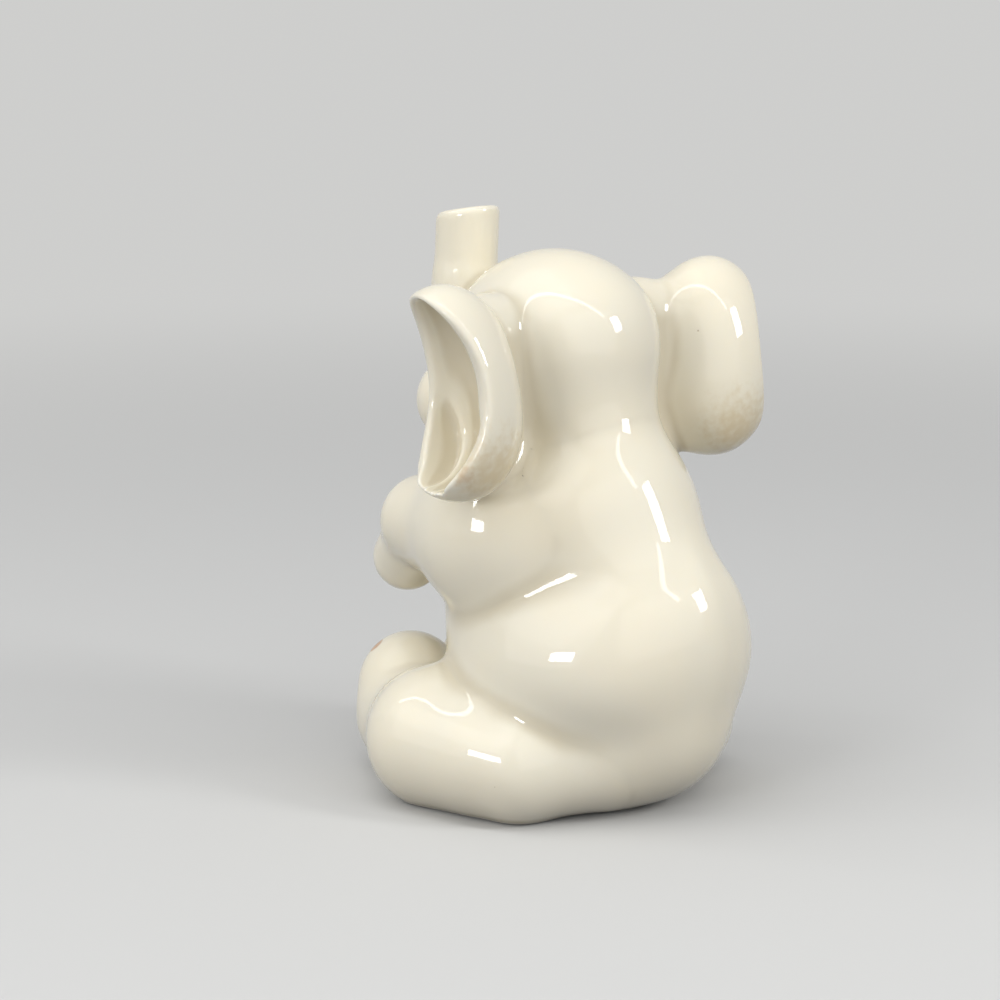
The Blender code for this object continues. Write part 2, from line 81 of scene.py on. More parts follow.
class Clay:
    """Geometry nodes that measure the distance from any point to the surface of a form."""

    def __init__(self, name):
        self.tree = bpy.data.node_groups.new(name, "GeometryNodeTree")
        self.tree.interface.new_socket("Geometry", in_out="OUTPUT", socket_type="NodeSocketGeometry")
        self.entry = self.tree.nodes.new("NodeGroupInput")
        self.given = {}
        self.here = wire(self.tree, "GeometryNodeInputPosition").outputs[0]
        self.x, self.y, self.z = wire(self.tree, "ShaderNodeSeparateXYZ", (self.here,)).outputs
        side = self.number("ABSOLUTE", self.x)
        self.mirrored = wire(self.tree, "ShaderNodeCombineXYZ", (side, self.y, self.z)).outputs[0]

    def size(self, name, value, kind=None):
        """A named input of the tree, with the value that the modifier gives it."""
        kind = kind or ("NodeSocketFloat" if isinstance(value, float) else "NodeSocketVector")
        socket = self.tree.interface.new_socket(name, in_out="INPUT", socket_type=kind)
        self.given[socket.identifier] = value
        return next(out for out in self.entry.outputs if out.identifier == socket.identifier)

    def number(self, operation, *values):
        return wire(self.tree, "ShaderNodeMath", values, operation=operation).outputs[0]

    def vector(self, operation, *values):
        made = wire(self.tree, "ShaderNodeVectorMath", values, operation=operation)
        return made.outputs["Value" if operation in ("LENGTH", "DOT_PRODUCT") else "Vector"]

    def scaled(self, direction, factor):
        made = wire(self.tree, "ShaderNodeVectorMath", {0: direction, "Scale": factor}, operation="SCALE")
        return made.outputs["Vector"]

    def ramp(self, value, low, high, start=0.0, end=1.0):
        """Goes smoothly from one number to another between two values."""
        inputs = (value, low, high, start, end)
        return wire(self.tree, "ShaderNodeMapRange", inputs, interpolation_type="SMOOTHSTEP").outputs[0]

    def egg(self, name, centre, size, turn=None, paired=False):
        """A rounded lump of some width, depth and height, which may be turned about its centre."""
        place = self.mirrored if paired else self.here
        local = self.vector("SUBTRACT", place, self.size(name + " centre", centre))
        if turn:
            rotate = wire(self.tree, "ShaderNodeVectorRotate", rotation_type="EULER_XYZ", invert=True)
            self.tree.links.new(local, rotate.inputs["Vector"])
            self.tree.links.new(self.size(name + " turn", turn), rotate.inputs["Rotation"])
            local = rotate.outputs[0]
        radii = self.scaled(self.size(name + " size", size), 0.5)
        unit = self.vector("DIVIDE", local, radii)
        reach = self.vector("LENGTH", unit)
        slope = self.vector("LENGTH", self.vector("DIVIDE", unit, radii))
        over = self.number("MULTIPLY", reach, self.number("SUBTRACT", reach, 1.0))
        return self.number("DIVIDE", over, self.number("MAXIMUM", slope, 1e-6))

    def limb(self, name, start, end, start_radius, end_radius, paired=False):
        """A round bar that tapers between two balls."""
        place = self.mirrored if paired else self.here
        foot = self.size(name + " start", start)
        whole = self.vector("SUBTRACT", self.size(name + " end", end), foot)
        thick = self.size(name + " start radius", start_radius)
        thin = self.size(name + " end radius", end_radius)
        length = self.vector("LENGTH", whole)
        axis = self.vector("NORMALIZE", whole)
        taper = self.number("DIVIDE", self.number("SUBTRACT", thick, thin), length)
        rise = self.number("SUBTRACT", 1.0, self.number("MULTIPLY", taper, taper))
        lean = self.number("DIVIDE", taper, self.number("SQRT", rise))
        local = self.vector("SUBTRACT", place, foot)
        along = self.vector("DOT_PRODUCT", local, axis)
        off_axis = self.vector("LENGTH", self.vector("SUBTRACT", local, self.scaled(axis, along)))
        along = self.number("SUBTRACT", along, self.number("MULTIPLY", off_axis, lean))
        along = self.number("MINIMUM", self.number("MAXIMUM", along, 0.0), length)
        away = self.vector("LENGTH", self.vector("SUBTRACT", local, self.scaled(axis, along)))
        radius = self.number("SUBTRACT", thick, self.number("MULTIPLY", along, taper))
        return self.number("SUBTRACT", away, radius)

    def plane(self, name, point, normal):
        local = self.vector("SUBTRACT", self.here, self.size(name + " place", point))
        return self.vector("DOT_PRODUCT", local, self.size(name + " normal", normal))

    def join(self, blend, *forms):
        return functools.reduce(lambda first, second: self.number("SMOOTH_MIN", first, second, blend), forms)

    def carve(self, form, hollow, blend):
        return self.number("SMOOTH_MAX", form, self.number("MULTIPLY", hollow, -1.0), blend)


RUMP = Vector((0.0, 0.0008, 0.0230))
RUMP_SIZE = Vector((0.0456, 0.0456, 0.0354))
SHOULDERS = Vector((0.0, -0.0018, 0.0460))
SPINE = Vector((0.0, 0.0096, 0.0290))
WITHERS = Vector((0.0, -0.0001, 0.0570))
SPINE_RADIUS = 0.0140
WITHERS_RADIUS = 0.0065
CREST_WIDTH = 0.0120
CREST_PROUD = 0.0004
VENT = Vector((0.0, 0.0068, 0.0))
VENT_RADIUS = 0.0018
VENT_DEPTH = 0.0070
VENT_EDGE = 0.0006
BELLY_BLEND = 0.006
BACK_BLEND = 0.011
CREST_BLEND = 0.003


def torso_form(clay):
    rump = clay.egg("Rump", RUMP, RUMP_SIZE)
    seat = clay.egg("Seat", (0.0, 0.0, 0.0090), (0.0300, 0.0320, 0.0200))
    stern = clay.egg("Stern", (0.0, 0.0087, 0.0142), (0.0262, 0.0290, 0.0262))
    belly = clay.egg("Belly", (0.0, -0.0095, 0.0265), (0.0330, 0.0320, 0.0270))
    spine = clay.limb("Spine", SPINE, WITHERS, SPINE_RADIUS, WITHERS_RADIUS)
    shoulders = clay.egg("Shoulders", SHOULDERS, (0.0316, 0.0290, 0.0250))
    torso = clay.join(BACK_BLEND, clay.join(BELLY_BLEND, rump, seat, stern, belly), spine, shoulders)
    proud = Vector((0.0, 2 * CREST_PROUD, 2 * CREST_PROUD))
    ball = Vector((CREST_WIDTH, 2 * SPINE_RADIUS, 2 * SPINE_RADIUS))
    rump_crest = clay.egg("Rump crest", RUMP, Vector((CREST_WIDTH, RUMP_SIZE.y, RUMP_SIZE.z)) + proud)
    back_crest = clay.egg("Back crest", SPINE, ball + proud)
    torso = clay.join(CREST_BLEND, torso, clay.join(BELLY_BLEND, rump_crest, back_crest))
    vent = clay.limb("Vent", VENT, VENT + Vector((0.0, 0.0, VENT_DEPTH)), VENT_RADIUS, VENT_RADIUS)
    return clay.carve(torso, vent, VENT_EDGE)


HEAD = Vector((0.0, -0.0092, 0.0680))
FACE = HEAD + Vector((0.0, -0.0153, 0.0))
NAPE = Vector((0.0, -0.0052, 0.0545))
NECK_RADIUS = 0.0124
EYE = HEAD + Vector((0.0104, -0.0098, 0.0030))
SKULL_BLEND = 0.006
CHIN_BLEND = 0.002
EYE_BLEND = 0.001


def head_form(clay):
    skull = clay.egg("Skull", HEAD, (0.0276, 0.0306, 0.0308))
    brow = clay.egg("Brow", HEAD + Vector((0.0, 0.0002, 0.0048)), (0.0276, 0.0300, 0.0204))
    neck = clay.limb("Neck", NAPE, Vector((0.0, NAPE.y, HEAD.z)), NECK_RADIUS, NECK_RADIUS)
    cheek = clay.egg("Cheek", HEAD + Vector((0.0080, -0.0123, -0.0075)), (0.0140,) * 3, None, True)
    chin = clay.egg("Chin", HEAD + Vector((0.0, -0.0100, -0.0136)), (0.0104, 0.0180, 0.0084))
    eye = clay.egg("Eye", EYE, (0.0038,) * 3, None, True)
    face = clay.join(CHIN_BLEND, clay.join(SKULL_BLEND, skull, brow, neck, cheek), chin)
    return clay.join(EYE_BLEND, face, eye)


TRUNK_BEND = FACE + Vector((0.0, -0.0043, 0.0))
TRUNK_RISE = TRUNK_BEND + Vector((0.0, 0.0, 0.0100))
TRUNK_TIP = TRUNK_BEND + Vector((0.0, 0.0007, 0.0213))
TRUNK_ALONG = (TRUNK_TIP - TRUNK_RISE).normalized()
TRUNK_ROOT_RADIUS = 0.0085
TRUNK_BEND_RADIUS = 0.0064
TRUNK_RADIUS = 0.0050
TRUNK_SLANT = math.radians(10)
TRUNK_LIP = 0.002
NOSTRIL_RADIUS = 0.0019
NOSTRIL_DEPTH = 0.0060


def trunk_form(clay):
    beyond = TRUNK_TIP + TRUNK_ALONG * TRUNK_RADIUS
    foot = FACE - Vector((0.0, 0.0, 0.0070))
    root = clay.limb("Trunk root", foot, TRUNK_BEND, TRUNK_ROOT_RADIUS, TRUNK_BEND_RADIUS)
    bend = clay.limb("Trunk bend", TRUNK_BEND, TRUNK_RISE, TRUNK_BEND_RADIUS, TRUNK_RADIUS)
    rise = clay.limb("Trunk rise", TRUNK_RISE, beyond, TRUNK_RADIUS, TRUNK_RADIUS)
    trunk = clay.join(TRUNK_LIP, root, bend, rise)
    tip = clay.plane("Trunk tip", TRUNK_TIP, (0.0, -math.sin(TRUNK_SLANT), math.cos(TRUNK_SLANT)))
    trunk = clay.number("SMOOTH_MAX", trunk, tip, TRUNK_LIP)
    bottom = TRUNK_TIP - TRUNK_ALONG * NOSTRIL_DEPTH
    nostril = clay.limb("Nostril", bottom, beyond, NOSTRIL_RADIUS, NOSTRIL_RADIUS)
    return clay.carve(trunk, nostril, TRUNK_LIP)


EAR = HEAD + Vector((0.0286, 0.0076, -0.0022))
EAR_SIZE = Vector((0.0200, 0.0178, 0.0308))
EAR_TURN = (0.16, 0.07, 0.12)
EAR_INSIDE = Vector((0.0198, 0.0136, 0.0274))
EAR_ROOT = EAR + Vector((-0.0116, -0.0066, 0.0008))
EAR_ROOT_RADIUS = 0.0056
EAR_MOUTH_RADIUS = 0.018
EAR_RIM = 0.002
EAR_BLEND = 0.005
EAR_HOLLOW_BLEND = 0.004
EAR_ROOT_BLEND = 0.007
FLUTE_FOOT = EAR + Vector((0.0, -0.0010, -0.0190))
FLUTE_SPREAD = 0.28
FLUTE_DEPTH = 0.00045
FLUTES_RISE = (0.003, 0.009)
FLUTES_FADE = (0.013, 0.024)


def flutes(clay):
    """Soft folds on the inside of the ear that fan out from its foot."""
    local = clay.vector("SUBTRACT", clay.mirrored, clay.size("Flute foot", FLUTE_FOOT))
    _, across, up = wire(clay.tree, "ShaderNodeSeparateXYZ", (local,)).outputs
    fan = clay.number("DIVIDE", clay.number("ARCTAN2", across, up), clay.size("Flute spread", FLUTE_SPREAD))
    wave = clay.number("SINE", clay.number("MULTIPLY", fan, 2 * math.pi))
    rising, fading = clay.ramp(up, *FLUTES_RISE), clay.ramp(up, *FLUTES_FADE, 1.0, 0.0)
    wave = clay.number("MULTIPLY", wave, clay.number("MULTIPLY", rising, fading))
    return clay.number("MULTIPLY", wave, clay.size("Flute depth", FLUTE_DEPTH))


def ear_form(clay):
    shell = clay.egg("Ear shell", EAR, EAR_SIZE, EAR_TURN, True)
    low = EAR - Vector((0.0, 0.0006, 0.0062))
    lobe = clay.egg("Ear lobe", low, (EAR_SIZE.x, 0.0156, 0.0178), None, True)
    high = EAR + Vector((0.0003, -0.0026, 0.0064))
    tip = clay.egg("Ear tip", high, (0.0186, 0.0130, 0.0160), None, True)
    near = EAR + Vector((0.0064, -0.0400, 0.0))
    far = EAR + Vector((0.0304, 0.0400, 0.0))
    mouth = clay.limb("Ear mouth", near, far, EAR_MOUTH_RADIUS, EAR_MOUTH_RADIUS, True)
    shell = clay.carve(clay.join(EAR_BLEND, shell, lobe, tip), mouth, EAR_RIM)
    top = EAR_ROOT + Vector((0.0, 0.0, 0.0064))
    foot = EAR_ROOT - Vector((0.0, 0.0, 0.0105))
    root = clay.limb("Ear root", top, foot, EAR_ROOT_RADIUS, EAR_ROOT_RADIUS, True)
    hollow = clay.egg("Ear hollow", EAR + Vector((0.0030, -0.0010, 0.0)), EAR_INSIDE, EAR_TURN, True)
    low = EAR + Vector((0.0030, -0.0010, -0.0057))
    dip = clay.egg("Lobe hollow", low, (0.0196, 0.0122, 0.0156), None, True)
    hollow = clay.number("ADD", clay.join(EAR_HOLLOW_BLEND, hollow, dip), flutes(clay))
    return clay.carve(clay.join(EAR_ROOT_BLEND, shell, root), hollow, EAR_RIM)


SHOULDER = SHOULDERS + Vector((0.0130, -0.0072, -0.0045))
WRIST = SHOULDER + Vector((-0.0020, -0.0172, -0.0005))
FOREFOOT = WRIST + Vector((-0.0025, -0.0073, -0.0072))
BLADE_RADII = (0.0074, 0.0108)
SHOULDER_RADIUS = 0.0106
WRIST_RADIUS = 0.0074
FETLOCK_RADIUS = 0.0060
FOREFOOT_RADIUS = 0.0055
SHOULDER_BLEND = 0.005
WRIST_BLEND = 0.002


def foreleg_form(clay):
    shoulder = clay.egg("Shoulder", SHOULDER, (0.0200, 0.0256, 0.0214), None, True)
    behind = SHOULDER + Vector((-0.0046, 0.0104, 0.0004))
    blade = clay.limb("Blade", behind, SHOULDER, *BLADE_RADII, True)
    foreleg = clay.limb("Foreleg", SHOULDER, WRIST, SHOULDER_RADIUS, WRIST_RADIUS, True)
    forefoot = clay.limb("Forefoot", WRIST, FOREFOOT, FETLOCK_RADIUS, FOREFOOT_RADIUS, True)
    return clay.join(WRIST_BLEND, clay.join(SHOULDER_BLEND, shoulder, blade, foreleg), forefoot)


HAUNCH = Vector((0.0087, 0.0078, 0.0096))
HAUNCH_RADIUS = 0.0084
THIGH = Vector((0.0176, 0.0006, 0.0085))
THIGH_RADIUS = 0.0093
THIGH_MUSCLE = Vector((0.0193, -0.0058, 0.0094))
KNEE = Vector((0.0198, -0.0146, 0.0098))
KNEE_RADIUS = 0.0102
HEEL = Vector((0.0110, -0.0299, 0.0085))
HEEL_RADIUS = 0.0080
TOES = Vector((0.0090, -0.0324, 0.0133))
TOES_RADIUS = 0.0082
THIGH_BLEND = 0.002
KNEE_BLEND = 0.006


def hind_leg_form(clay):
    haunch = clay.limb("Haunch", HAUNCH, THIGH, HAUNCH_RADIUS, THIGH_RADIUS, True)
    thigh = clay.limb("Thigh", THIGH, KNEE, THIGH_RADIUS, KNEE_RADIUS, True)
    muscle = clay.egg("Thigh muscle", THIGH_MUSCLE, (0.0206, 0.0250, 0.0200), None, True)
    shin = clay.limb("Shin", KNEE, HEEL, KNEE_RADIUS, HEEL_RADIUS, True)
    foot = clay.limb("Hind foot", HEEL, TOES, HEEL_RADIUS, TOES_RADIUS, True)
    return clay.join(KNEE_BLEND, clay.join(THIGH_BLEND, haunch, thigh, muscle), shin, foot)


FORMS = {
    "torso": torso_form,
    "head": head_form,
    "trunk": trunk_form,
    "ear": ear_form,
    "foreleg": foreleg_form,
    "hind_leg": hind_leg_form,
}
NECK_BLEND = 0.007
TRUNK_BLEND = 0.004
PAIR_BLENDS = {"ear": 0.007, "foreleg": 0.009, "hind_leg": 0.0065}
FOOT_EDGE = 0.0008
CELLS_DEEP = 6
THICK_GLAZE = 0.0014
SEAM_WIDTH = 0.0007
EDGE_WIDTH = 0.0008
VALLEY_WIDTH = 0.0019
MARGIN = Vector((0.002,) * 3)


def skin_of(clay, distance, grain):
    """The surface on which a distance is nought, found in a block of fine cells."""
    low, high = cad_box[0] - MARGIN, cad_box[1] + MARGIN
    depth = CELLS_DEEP * grain
    block = wire(
        clay.tree,
        "GeometryNodeVolumeCube",
        {
            "Density": clay.number("SUBTRACT", depth, distance),
            "Min": clay.size("Block low corner", low),
            "Max": clay.size("Block high corner", high),
        },
    )
    for axis, length in zip("XYZ", high - low):
        block.inputs["Resolution " + axis].default_value = math.ceil(length / grain)
    inputs = {"Volume": block.outputs[0], "Threshold": depth}
    return wire(clay.tree, "GeometryNodeVolumeToMesh", inputs).outputs[0]


def settle(thing):
    """Turns what the modifiers make into the object's own mesh."""
    graph = bpy.context.evaluated_depsgraph_get()
    thing.data = bpy.data.meshes.new_from_object(thing.evaluated_get(graph))
    thing.modifiers.clear()


def made_by(clay, geometry, material, name, thing=None):
    """Runs a tree on an object, or on a new one, with its sizes given to the modifier."""
    whole = wire(clay.tree, "GeometryNodeRealizeInstances", (geometry,)).outputs[0]
    coat = clay.size("Material", material, "NodeSocketMaterial")
    coated = wire(clay.tree, "GeometryNodeSetMaterial", {"Geometry": whole, "Material": coat}).outputs[0]
    wire(clay.tree, "NodeGroupOutput", (coated,))
    if thing is None:
        thing = bpy.data.objects.new(name, bpy.data.meshes.new(name))
        bpy.context.scene.collection.objects.link(thing)
    modifier = thing.modifiers.new(name, "NODES")
    modifier.node_group = clay.tree
    for identifier, value in clay.given.items():
        modifier[identifier] = value
    settle(thing)
    return thing


def stored(clay, geometry, name, value):
    """Keeps a number at each point of the mesh, for the glaze to read."""
    inputs = {"Geometry": geometry, "Name": name, "Value": value}
    made = wire(clay.tree, "GeometryNodeStoreNamedAttribute", inputs, data_type="FLOAT", domain="POINT")
    return made.outputs[0]


clay = Clay("Clay original")
forms = {name: form(clay) for name, form in FORMS.items()}
calf = clay.join(NECK_BLEND, forms["torso"], clay.join(TRUNK_BLEND, forms["head"], forms["trunk"]))
for name, blend in PAIR_BLENDS.items():
    calf = clay.join(blend, calf, forms[name])
calf = clay.number("SMOOTH_MAX", calf, clay.number("MULTIPLY", clay.z, -1.0), FOOT_EDGE)
nearest, second = forms["torso"], 1.0
for name in list(FORMS)[1:]:
    second = clay.number("MINIMUM", second, clay.number("MAXIMUM", nearest, forms[name]))
    nearest = clay.number("MINIMUM", nearest, forms[name])
skin = skin_of(clay, calf, CLAY_GRAIN)
normal = wire(clay.tree, "GeometryNodeInputNormal").outputs[0]
# The block's skin is coarse, so it is moved twice onto the place where the distance is nought.
for _ in range(2):
    inward = clay.scaled(normal, clay.number("MULTIPLY", calf, -1.0))
    skin = wire(clay.tree, "GeometryNodeSetPosition", {"Geometry": skin, "Offset": inward}).outputs[0]
skin = stored(clay, skin, "pooling", clay.ramp(nearest, 0.0, THICK_GLAZE))
apart = clay.number("SUBTRACT", second, nearest)
skin = stored(clay, skin, "luting", clay.ramp(apart, 0.0, SEAM_WIDTH, 1.0, 0.0))
# How far a point stands above the skin round it tells edges close by, and valleys farther off, which the
# glaze darkens with painted shade.
for name, width in (("proud", EDGE_WIDTH), ("swell", VALLEY_WIDTH)):
    blurred = wire(clay.tree, "GeometryNodeBlurAttribute", data_type="FLOAT_VECTOR")
    blurred.inputs["Iterations"].default_value = round(2 * (width / CLAY_GRAIN) ** 2)
    place = next(s for s in blurred.inputs if s.name == "Value" and s.type == "VECTOR")
    clay.tree.links.new(clay.here, place)
    level = next(s for s in blurred.outputs if s.type == "VECTOR")
    above = clay.vector("DOT_PRODUCT", clay.vector("SUBTRACT", clay.here, level), normal)
    skin = stored(clay, skin, name, above)
skin = wire(clay.tree, "GeometryNodeSetShadeSmooth", {"Geometry": skin, "Shade Smooth": True}).outputs[0]
wet_clay = bpy.data.materials.new("wet_clay")
original = made_by(clay, skin, wet_clay, "clay_original")
rest = original.copy()
rest.data = original.data.copy()
rest.name = "uncut_clay"
bpy.context.scene.collection.objects.link(rest)


# Torso
# The largest casting, slip-cast in porcelain and hollow, with its vent in the flat foot. The foot
# is wiped free of glaze so that the calf doesn't stick to the kiln shelf. The other castings are
# luted to the torso with slip, and one ivory glaze then covers them all.

SEAM_GRAIN = 0.0006
HALF_SPACE = 0.4
IVORY = (0.800, 0.752, 0.616, 1.0)
CREAM = (0.835, 0.765, 0.600, 1.0)
POOLED = (0.560, 0.480, 0.320, 1.0)
# Painted shade for broad valleys, with some glaze pooled there.
VALLEY_SHADE = (0.600, 0.530, 0.380, 1.0)
THIN = (0.880, 0.850, 0.760, 1.0)
SEAM = (0.500, 0.400, 0.250, 1.0)
BISQUE = (0.720, 0.680, 0.590, 1.0)
UNDERGLAZE = (0.150, 0.055, 0.018, 1.0)
WASH = (0.480, 0.230, 0.080, 1.0)
SPECK = (0.330, 0.220, 0.110, 1.0)
CLOUD_WIDTH, CLOUD_COAT = 0.009, 0.55
EDGE_HEIGHTS, EDGE_COAT = (0.00010, 0.00042), 0.75
HOLLOW_DEPTHS, HOLLOW_COAT = (-0.00008, -0.00035), 0.6
# Depths and share of the painted shade in broad valleys, partly glaze pooling.
SHADED_VALLEY_DEPTHS, SHADED_VALLEY_COAT = (0.00001, -0.00018), 0.62
POOLING_COAT = 0.15
LUTING_WIDTH, LUTING_COAT = 0.004, 0.14
SPECK_CELLS = 150.0
SPECK_EDGE = (0.012, 0.030)
SPECK_CHANCE = (0.80, 0.82)
SPECK_COAT = 0.6
GLAZE_ROUGHNESS = 0.045
BISQUE_ROUGHNESS = 0.85
GLAZE_IOR = 1.52
GLOSS_WIDTH = 0.003
RIPPLE_WIDTH, RIPPLE_HEIGHT = 0.006, 0.00012
PEEL_WIDTH, PEEL_HEIGHT = 0.0009, 0.000006
GRAIN_WIDTH, GRAIN_HEIGHT = 0.00025, 0.00006
PIT_DEPTH = 0.00003
GLOW_SHARE = 0.12
GLOW_COLOUR = (1.0, 0.8, 0.5)
GLOW_DEPTH = 0.0012
FOOT_LINE = 0.0007
FOOT_WANDER, FOOT_WANDER_WIDTH = 0.0005, 0.0016
FOOT_LIP_COAT = 0.6
SPOT_WOBBLE_WIDTH = 0.0006


class Finish:
    """Shader nodes of one material, on the coordinates of the object."""

    def __init__(self, name):
        self.material = bpy.data.materials.new(name)
        self.material.use_nodes = True
        self.tree = self.material.node_tree
        self.shader = self.tree.nodes["Principled BSDF"]
        self.place = wire(self.tree, "ShaderNodeTexCoord").outputs["Object"]
        x, y, self.z = wire(self.tree, "ShaderNodeSeparateXYZ", (self.place,)).outputs
        side = wire(self.tree, "ShaderNodeMath", (x,), operation="ABSOLUTE").outputs[0]
        self.mirrored = wire(self.tree, "ShaderNodeCombineXYZ", (side, y, self.z)).outputs[0]

    def number(self, operation, *values):
        return wire(self.tree, "ShaderNodeMath", values, operation=operation).outputs[0]

    def ramp(self, value, low, high, start=0.0, end=1.0):
        """Goes smoothly from one number to another between two values."""
        inputs = (value, low, high, start, end)
        return wire(self.tree, "ShaderNodeMapRange", inputs, interpolation_type="SMOOTHSTEP").outputs[0]

    def attribute(self, name):
        return wire(self.tree, "ShaderNodeAttribute", attribute_name=name).outputs["Fac"]

    def noise(self, width, detail=2.0):
        """Soft noise whose blotches are about this wide."""
        inputs = {"Vector": self.place, "Scale": 0.5 / width, "Detail": detail}
        return wire(self.tree, "ShaderNodeTexNoise", inputs).outputs["Fac"]

    def mixed(self, share, first, second):
        """The first colour, covered by some share of the second."""
        made = wire(self.tree, "ShaderNodeMix", data_type="RGBA")
        for name, value in (("Factor_Float", share), ("A_Color", first), ("B_Color", second)):
            socket = next(s for s in made.inputs if s.identifier == name)
            if isinstance(value, bpy.types.NodeSocket):
                self.tree.links.new(value, socket)
            else:
                socket.default_value = value
        return next(s for s in made.outputs if s.identifier == "Result_Color")

    def bump(self, height, depth, below=None):
        inputs = {"Height": height, "Distance": depth, "Strength": 1.0}
        if below:
            inputs["Normal"] = below
        return wire(self.tree, "ShaderNodeBump", inputs).outputs[0]

    def spot(self, centre, size, soft=0.25):
        """1 inside a rounded spot and 0 outside it, on both sides of the calf."""
        local = wire(self.tree, "ShaderNodeVectorMath", (self.mirrored, centre), operation="SUBTRACT")
        inputs = (local.outputs[0], tuple(length / 2 for length in size))
        unit = wire(self.tree, "ShaderNodeVectorMath", inputs, operation="DIVIDE").outputs[0]
        reach = wire(self.tree, "ShaderNodeVectorMath", (unit,), operation="LENGTH").outputs["Value"]
        wobble = self.number("MULTIPLY", self.number("SUBTRACT", self.noise(SPOT_WOBBLE_WIDTH), 0.5), soft)
        return self.ramp(self.number("ADD", reach, wobble), 1.0 - soft, 1.0, 1.0, 0.0)


def glaze_colour(finish, marks):
    """Ivory that is deeper where the glaze pools, darker with painted shade in broad valleys, paler where it
    runs thin, and with its marks.
    """
    number, ramp = finish.number, finish.ramp
    colour = finish.mixed(ramp(finish.noise(CLOUD_WIDTH), 0.35, 0.7, 0.0, CLOUD_COAT), IVORY, CREAM)
    edge = ramp(finish.attribute("proud"), *EDGE_HEIGHTS, 0.0, EDGE_COAT)
    colour = finish.mixed(edge, colour, THIN)
    hollow = ramp(finish.attribute("proud"), *HOLLOW_DEPTHS, 0.0, HOLLOW_COAT)
    pooled = number("MAXIMUM", hollow, number("MULTIPLY", finish.attribute("pooling"), POOLING_COAT))
    colour = finish.mixed(pooled, colour, POOLED)
    # Broad valleys are darkened with painted shade, mixed with some real glaze pooling.
    shaded_valley = ramp(finish.attribute("swell"), *SHADED_VALLEY_DEPTHS, 0.0, SHADED_VALLEY_COAT)
    colour = finish.mixed(shaded_valley, colour, VALLEY_SHADE)
    broken = ramp(finish.noise(LUTING_WIDTH), 0.42, 0.66, 0.0, LUTING_COAT)
    colour = finish.mixed(number("MULTIPLY", finish.attribute("luting"), broken), colour, SEAM)
    for paint, coat, spots in marks:
        dabs = [finish.spot(*spot) for spot in spots]
        mask = functools.reduce(lambda first, second: number("MAXIMUM", first, second), dabs)
        colour = finish.mixed(number("MULTIPLY", mask, coat), colour, paint)
    return colour


def iron_specks(finish):
    """1 on the rare specks of iron that burn through the glaze."""
    cells = wire(finish.tree, "ShaderNodeTexVoronoi", {"Vector": finish.place, "Scale": SPECK_CELLS})
    chance = wire(finish.tree, "ShaderNodeSeparateColor", (cells.outputs["Color"],)).outputs[0]
    dots = finish.ramp(cells.outputs["Distance"], *SPECK_EDGE, 1.0, 0.0)
    return finish.number("MULTIPLY", dots, finish.ramp(chance, *SPECK_CHANCE))


def glaze(name, marks=()):
    """Glossy glaze with its painted marks and iron specks, wiped off the foot down to bare clay."""
    finish = Finish(name)
    number, ramp = finish.number, finish.ramp
    specks = iron_specks(finish)
    wander = number("SUBTRACT", finish.noise(FOOT_WANDER_WIDTH), 0.5)
    edge = number("MULTIPLY_ADD", wander, FOOT_WANDER, finish.z)
    bare = ramp(edge, FOOT_LINE * 0.8, FOOT_LINE, 1.0, 0.0)
    lip = number("MULTIPLY", ramp(edge, FOOT_LINE, FOOT_LINE * 2.6, 1.0, 0.0), FOOT_LIP_COAT)
    colour = finish.mixed(number("MULTIPLY", specks, SPECK_COAT), glaze_colour(finish, marks), SPECK)
    colour = finish.mixed(lip, colour, POOLED)
    colour = finish.mixed(bare, colour, BISQUE)
    finish.tree.links.new(colour, finish.shader.inputs["Base Color"])
    gloss = ramp(finish.noise(GLOSS_WIDTH), 0.3, 0.7, GLAZE_ROUGHNESS * 0.8, GLAZE_ROUGHNESS * 1.3)
    roughness = number("MAXIMUM", gloss, number("MULTIPLY", bare, BISQUE_ROUGHNESS))
    finish.tree.links.new(roughness, finish.shader.inputs["Roughness"])
    ripple = finish.bump(finish.noise(RIPPLE_WIDTH, 1.0), RIPPLE_HEIGHT)
    peel = finish.bump(finish.noise(PEEL_WIDTH), PEEL_HEIGHT, ripple)
    pits = finish.bump(number("MULTIPLY", specks, -1.0), PIT_DEPTH, peel)
    grain = number("MULTIPLY", finish.noise(GRAIN_WIDTH, 4.0), bare)
    finish.tree.links.new(finish.bump(grain, GRAIN_HEIGHT, pits), finish.shader.inputs["Normal"])
    finish.shader.inputs["IOR"].default_value = GLAZE_IOR
    finish.shader.inputs["Subsurface Weight"].default_value = GLOW_SHARE
    finish.shader.inputs["Subsurface Radius"].default_value = GLOW_COLOUR
    finish.shader.inputs["Subsurface Scale"].default_value = GLOW_DEPTH
    return finish.material


def territory(name):
    """The share of the clay whose nearest form is this casting's own, as a solid to cut with."""
    clay = Clay(name + " territory")
    forms = {other: form(clay) for other, form in FORMS.items()}
    own = forms.pop(name)
    others = functools.reduce(lambda first, second: clay.number("MINIMUM", first, second), forms.values())
    share = clay.number("MULTIPLY", clay.number("SUBTRACT", own, others), 0.5)
    return made_by(clay, skin_of(clay, share, SEAM_GRAIN), wet_clay, name + "_territory")


def half_space(name, side):
    """A box that holds everything on one side of the middle plane."""
    bm = bmesh.new()
    bmesh.ops.create_cube(bm, size=HALF_SPACE)
    bmesh.ops.translate(bm, verts=bm.verts, vec=(HALF_SPACE / 2 * side, 0.0, 0.0))
    box = bpy.data.objects.new(name, bpy.data.meshes.new(name))
    bm.to_mesh(box.data)
    bm.free()
    bpy.context.scene.collection.objects.link(box)
    return box


def cut(thing, tool, operation):
    modifier = thing.modifiers.new("cut", "BOOLEAN")
    modifier.solver = "MANIFOLD"
    modifier.operation = operation
    modifier.object = tool
    settle(thing)


